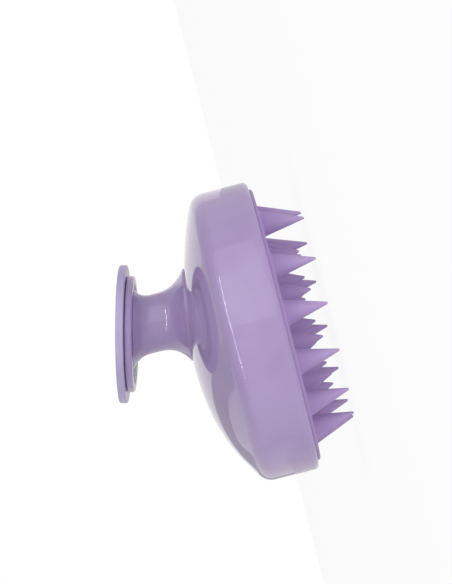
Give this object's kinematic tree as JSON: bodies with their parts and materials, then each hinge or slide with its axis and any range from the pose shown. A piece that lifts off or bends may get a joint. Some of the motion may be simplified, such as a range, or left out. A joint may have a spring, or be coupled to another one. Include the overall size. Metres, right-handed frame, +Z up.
{
  "type": "scalp massage brush",
  "caption": "Hand-held massage brush: shallow round head, waisted off-centre knob with a leaning disc cap, and a soft pad of pointed cones in rings.",
  "frame": {"origin": "centre of the plane that the outer teeth's tips stand on, on the head's axis", "axes": "+Z up along the head's axis from the teeth to the knob; +X towards the side that the handle is offset to and its cap leans to"},
  "size_m": [0.085, 0.085, 0.0642],
  "materials": {
    "lilac_gloss": "glossy lilac moulded plastic",
    "cap_pale_lilac": "paler, bluer lilac moulded plastic",
    "soft_purple": "satin soft silicone rubber, purple",
    "seal_rubber": "translucent grey rubber",
    "screw_steel": "stainless steel",
    "plate_natural": "natural white moulded plastic"
  },
  "bodies": {
    "root": {"head_shell": "lilac_gloss", "handle_stem": "lilac_gloss", "handle_cap": "cap_pale_lilac", "cap_seal_ring": "seal_rubber", "stem_screws": "screw_steel", "backing_plate": "plate_natural", "plate_screws": "screw_steel", "bristle_pad": "soft_purple", "outer_tooth_1": "soft_purple", "outer_tooth_2": "soft_purple", "outer_tooth_3": "soft_purple", "outer_tooth_4": "soft_purple", "outer_tooth_5": "soft_purple", "outer_tooth_6": "soft_purple", "outer_tooth_7": "soft_purple", "outer_tooth_8": "soft_purple", "outer_tooth_9": "soft_purple", "outer_tooth_10": "soft_purple", "outer_tooth_11": "soft_purple", "outer_tooth_12": "soft_purple", "outer_tooth_13": "soft_purple", "middle_tooth_1": "soft_purple", "middle_tooth_2": "soft_purple", "middle_tooth_3": "soft_purple", "middle_tooth_4": "soft_purple", "middle_tooth_5": "soft_purple", "middle_tooth_6": "soft_purple", "middle_tooth_7": "soft_purple", "middle_tooth_8": "soft_purple", "middle_tooth_9": "soft_purple", "inner_tooth_1": "soft_purple", "inner_tooth_2": "soft_purple", "inner_tooth_3": "soft_purple", "inner_tooth_4": "soft_purple"}
  },
  "joints": []
}
